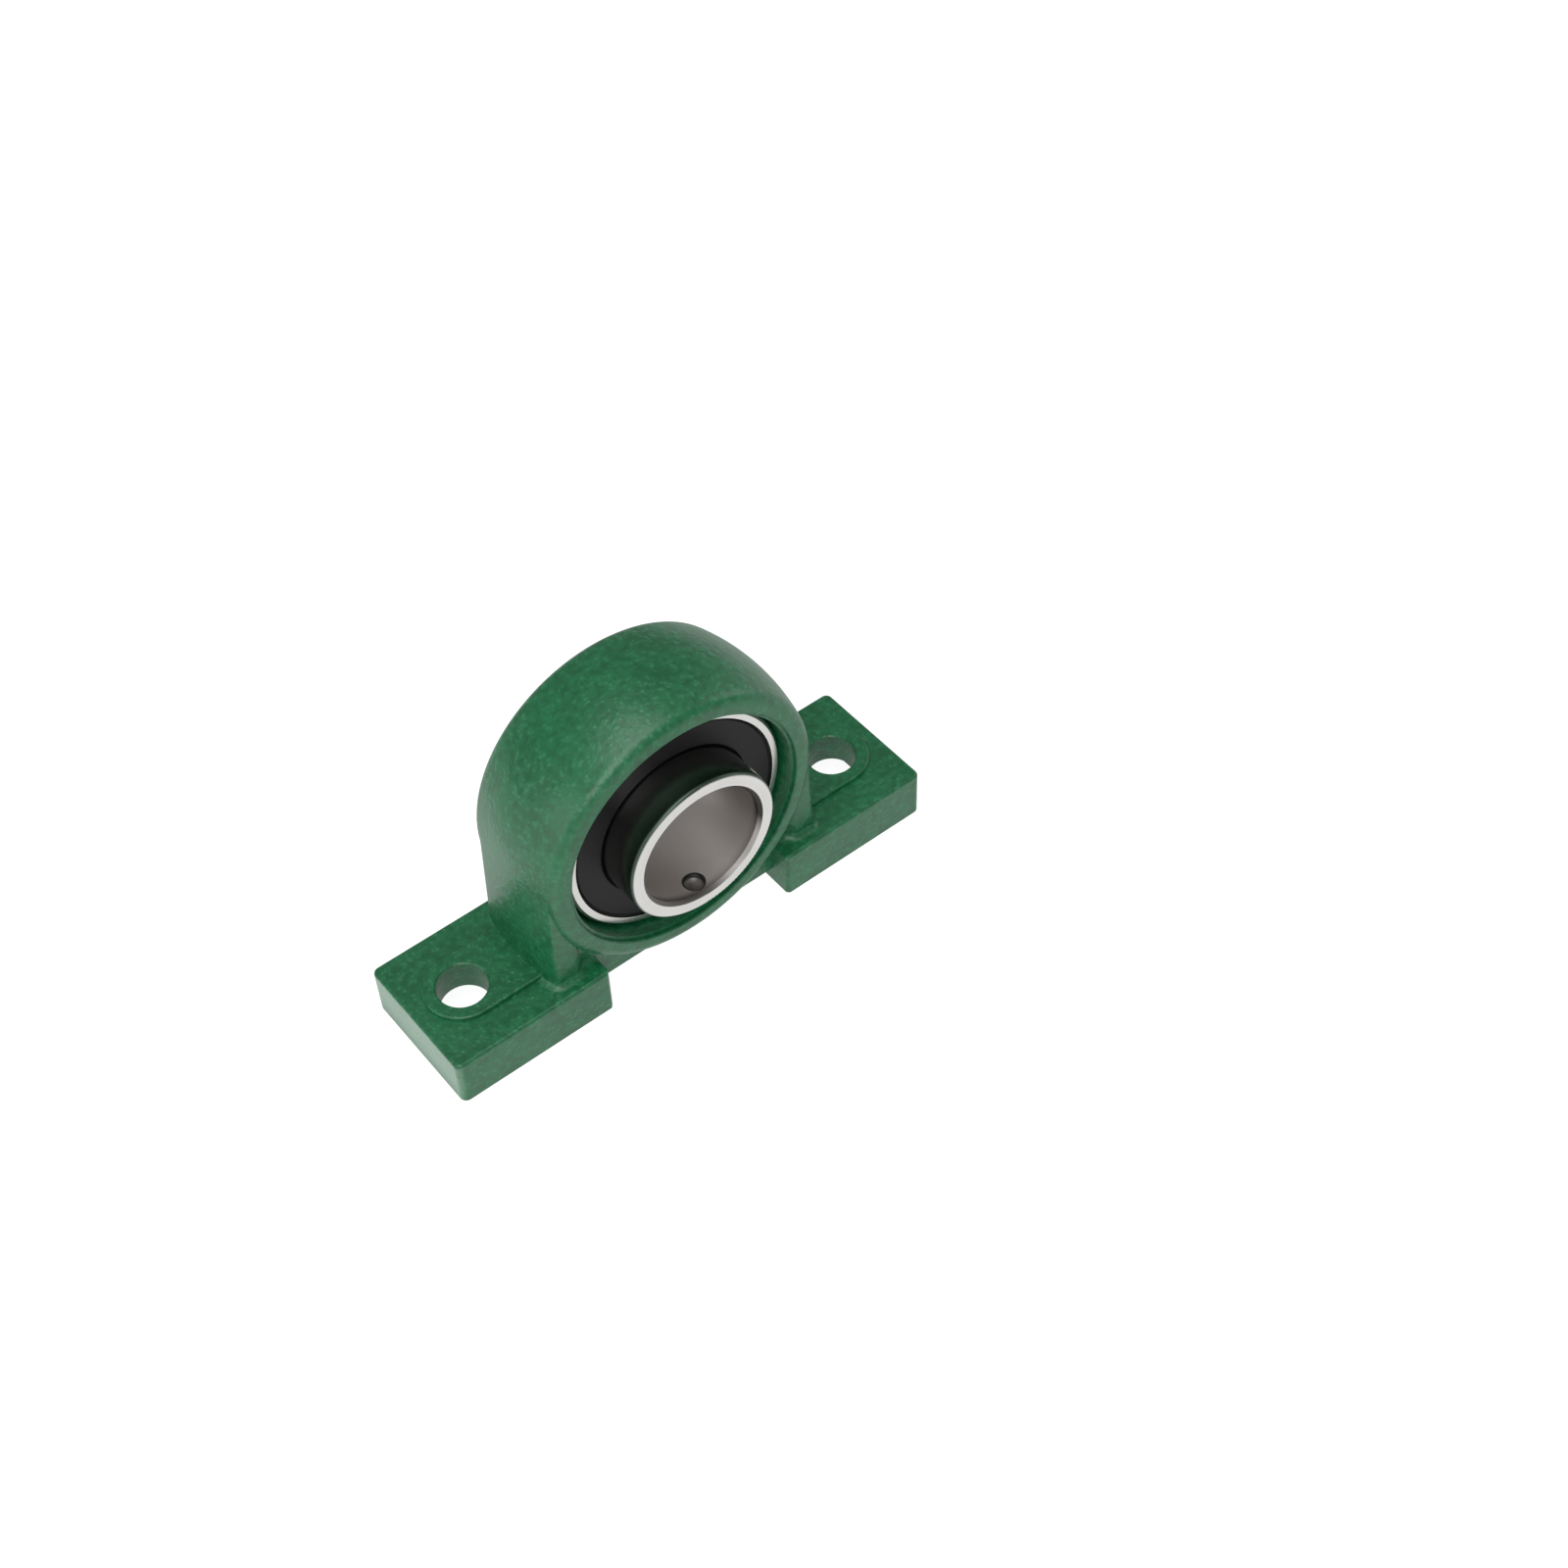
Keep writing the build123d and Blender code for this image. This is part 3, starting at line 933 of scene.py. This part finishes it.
@dataclass(frozen=True)
class Studio:
    """A light table, soft lamps, a pale room and the photograph's camera."""

    azimuth: float = -37.02
    elevation: float = 48.93
    roll: float = -2.33
    distance: float = 827.96 * MM
    lens: float = 55.15
    sensor: float = 36.0
    clip: Reach = (0.01, 50.0)
    target: tuple[float, float, float] = (56.97 * MM, 1.30 * MM + SETBACK, 18.75 * MM)
    sky: float = 0.25
    glow: float = 0.62
    left_glow: float = 1.7
    left_start: Reach = (-0.125, -0.112)
    left_end: Reach = (-0.100, -0.094)
    white: float = 0.93
    floor_reach: float = 3.0
    floor_steps: int = 12
    floor_height: float = -0.02 * MM

    def camera(self) -> None:
        """Set the camera: its back points along the azimuth and elevation, and it rolls about that."""
        a, e, t = (math.radians(v) for v in (self.azimuth, self.elevation, self.roll))
        back = Vector((math.sin(a) * math.cos(e), -math.cos(a) * math.cos(e), math.sin(e)))
        right = (-back).cross(Vector((0, 0, 1))).normalized()
        up = right.cross(-back)
        across = right * math.cos(t) + up * math.sin(t)
        upward = up * math.cos(t) - right * math.sin(t)
        data = bpy.data.cameras.new("photograph_view")
        data.lens = self.lens
        data.sensor_width = self.sensor
        data.clip_start, data.clip_end = self.clip
        camera = bpy.data.objects.new("photograph_view", data)
        basis = Matrix((across, upward, back)).transposed().to_4x4()
        camera.matrix_world = Matrix.Translation(Vector(self.target) + back * self.distance) @ basis
        bpy.context.scene.collection.objects.link(camera)
        bpy.context.scene.camera = camera

    def world(self) -> None:
        """Set a plain pale surround that the camera sees as white."""
        world = bpy.data.worlds.new("pale_room")
        world.use_nodes = True
        tree = world.node_tree
        room = tree.nodes["Background"]
        room.inputs["Color"].default_value = (1.0, 1.0, 1.0, 1.0)
        room.inputs["Strength"].default_value = self.sky
        white = tree.nodes.new("ShaderNodeBackground")
        white.inputs["Strength"].default_value = 1.0
        white.inputs["Color"].default_value = (1.0, 1.0, 1.0, 1.0)
        rays = tree.nodes.new("ShaderNodeLightPath")
        mix = tree.nodes.new("ShaderNodeMixShader")
        tree.links.new(rays.outputs["Is Camera Ray"], mix.inputs[0])
        tree.links.new(room.outputs[0], mix.inputs[1])
        tree.links.new(white.outputs[0], mix.inputs[2])
        tree.links.new(mix.outputs[0], tree.nodes["World Output"].inputs[0])
        bpy.context.scene.world = world

    def floor(self) -> None:
        """Lay a light table that is white to the camera and lights the part from below.

        It is a flat grid: x and y run evenly from edge to edge, and z is just under 0. A strip to
        the left of the part is brighter, but only in reflections.
        """
        steps, row = self.floor_steps, self.floor_steps + 1
        reach = np.linspace(-self.floor_reach, self.floor_reach, row)
        x, y = np.meshgrid(reach, reach)
        points = np.stack([x, y, np.full_like(x, self.floor_height)], -1).reshape(-1, 3)
        corner = (np.arange(steps)[:, None] * row + np.arange(steps)).ravel()
        faces = np.stack([corner, corner + 1, corner + row + 1, corner + row], -1)
        mesh = bpy.data.meshes.new("pale_floor")
        mesh.from_pydata(points.tolist(), [], faces.tolist())
        piece = Surface.show("pale_floor", mesh)
        s = Shader("pale_floor")
        rays = s.node("ShaderNodeLightPath")
        seen = Value(s.tree, rays.outputs["Is Camera Ray"])
        mirrored = Value(s.tree, rays.outputs["Is Glossy Ray"])
        levels = (self.white, self.glow, self.left_glow)
        brightest = max(levels)
        white, glow, left_glow = ((level / brightest,) * 3 for level in levels)
        beside = s.x.fade(*self.left_end) * s.x.step(*self.left_start) * mirrored
        light_table = s.finish(
            Base_Color=(0.3, 0.3, 0.3, 1.0),
            Roughness=0.9,
            Specular_IOR_Level=0.0,
            Emission_Color=s.mix(seen, s.mix(beside, glow, left_glow), white),
            Emission_Strength=brightest,
        )
        Surface.wear(piece, light_table)

    def build(self) -> None:
        """Set up the whole studio."""
        bpy.context.scene.view_settings.view_transform = "Standard"
        self.camera()
        self.world()
        self.floor()
        for softbox in SOFTBOXES:
            softbox.hang()


def main() -> None:
    """Build the studio, dress the CAD nodes and add the ring, the seals and the threaded pieces."""
    Studio().build()
    # The inner ring's steel carries painted shade in the bore and on the land.
    ring_steel_painted_shade = InnerRingSteel("inner_ring_steel_painted_shade").material()
    outer_steel = BearingSteel("outer_ring_steel").material()
    rubber = SealRubber().material()
    screw_steel = PlainMetal("oiled_screw", (0.34, 0.325, 0.31), (0.24, 0.23, 0.22), 0.36).material()
    # The tapped hole's thread is painted near black as shade in the hole round the screw.
    hole_painted_shade = PlainMetal("tapped_hole_painted_shade", (0.10, 0.098, 0.095), (0.05, 0.049, 0.048), 0.45).material()
    cage_steel = PlainMetal("pressed_cage_steel", (0.52, 0.50, 0.47), (0.36, 0.35, 0.33), 0.34).material()
    mirror = PlainMetal("ball_steel", (0.70, 0.70, 0.69), (0.62, 0.62, 0.61), 0.06, 0.3 * MM, 0.0005 * MM)
    balls = tuple(f"ball_{number}" for number in range(1, 10))
    for carried in (
        CarriedNodes(Fit.CAST, ("housing",), CastEnamel().material()),
        CarriedNodes(Fit.TURNED, ("outer_ring",), outer_steel),
        CarriedNodes(Fit.TURNED, ("inner_ring",), ring_steel_painted_shade),
        CarriedNodes(Fit.TURNED, ("front_seal", "rear_seal"), rubber),
        CarriedNodes(Fit.TURNED, ("cage_front", "cage_rear", "cage_rivets"), cage_steel),
        CarriedNodes(Fit.TURNED, balls, mirror.material()),
        CarriedNodes(Fit.TURNED, ("set_screw_1", "set_screw_2"), screw_steel),
    ):
        carried.dress()
    built = [SoftenedRing().build(ring_steel_painted_shade)]
    for node, outwards in (("front_seal", -1), ("rear_seal", 1)):
        built.append(MouldedSeal(node, outwards).build(rubber))
    for number, angle in ((1, -93.0), (2, 27.0)):
        screw = SetScrew(number, angle)
        built += [screw.screw(screw_steel), screw.hole_thread(hole_painted_shade)]
    for piece in built:
        LOG.info("built %s with %d faces", piece.name, len(piece.data.polygons))


if __name__ == "__main__":
    main()
